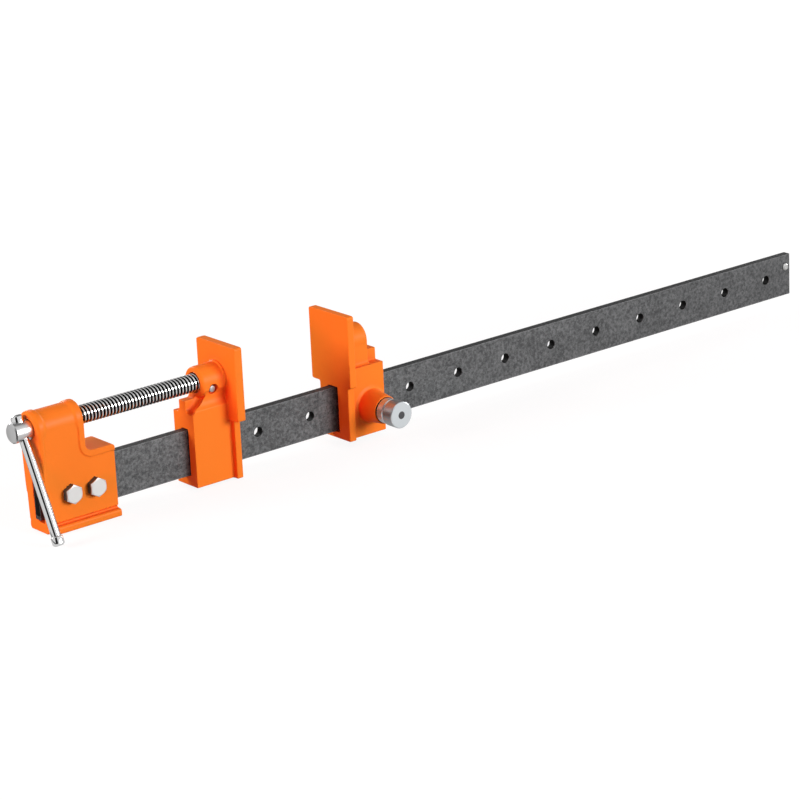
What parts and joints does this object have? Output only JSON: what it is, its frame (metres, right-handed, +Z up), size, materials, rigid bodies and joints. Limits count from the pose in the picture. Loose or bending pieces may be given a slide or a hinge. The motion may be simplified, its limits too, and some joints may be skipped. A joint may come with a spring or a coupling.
{
  "type": "bar clamp",
  "caption": "Flat-bar clamp: a cast head with a screw and sliding handle drives a moving jaw; a tail jaw with a sprung plunger locks in holes along the bar.",
  "frame": {"origin": "middle of the fixed head's foot, on the middle plane of the bar's thickness", "axes": "+X along the bar from the head to the free end, +Y across the bar away from the plunger's knob, +Z up from the foot to the screw"},
  "size_m": [0.7947, 0.0769, 0.105],
  "materials": {
    "mill_steel": "dark mill scale, satin",
    "paint": "glossy orange paint on cast iron",
    "zinc": "bright zinc plate",
    "bright": "bright chrome plate",
    "pin_steel": "plain steel",
    "turned_alloy": "turned and polished"
  },
  "bodies": {
    "clamp_body": {"bar": "mill_steel", "fixed_head": "paint", "head_bolts": "zinc", "head_nuts": "zinc", "head_washers": "zinc", "stop_pin": "zinc"},
    "moving_jaw": {"moving_jaw": "paint", "jaw_pin": "pin_steel"},
    "screw": {"screw": "bright"},
    "handle": {"handle_bar": "bright", "handle_knob_upper": "bright", "handle_knob_lower": "bright"},
    "tail_jaw": {"tail_jaw": "paint", "plunger_bush": "pin_steel", "plunger_spring": "pin_steel"},
    "plunger": {"plunger_pin": "pin_steel", "plunger_knob": "turned_alloy"}
  },
  "joints": [
    {"name": "jaw_travel", "type": "slide", "parent": "clamp_body", "child": "moving_jaw", "axis": [1, 0, 0], "range_m": [-0.07, 0]},
    {"name": "screw_spin", "type": "hinge", "parent": "moving_jaw", "child": "screw", "pos_m": [0.04, 0, 0.0792], "axis": [1, 0, 0], "range_deg": [-8400, 0]},
    {"name": "handle_slide", "type": "slide", "parent": "screw", "child": "handle", "axis": [0, 0.4384, 0.8988], "range_m": [0, 0.0744]},
    {"name": "tail_slide", "type": "slide", "parent": "clamp_body", "child": "tail_jaw", "axis": [1, 0, 0], "range_m": [-0.1, 0.45]},
    {"name": "plunger_slide", "type": "slide", "parent": "tail_jaw", "child": "plunger", "axis": [0, 1, 0], "range_m": [0, 0.0064], "stiffness_N_per_m": 800, "springref_m": 0.0125}
  ],
  "couplings": [
    {"joint": "screw_spin", "follows": "jaw_travel", "rad_per_m": 2094.4}
  ]
}
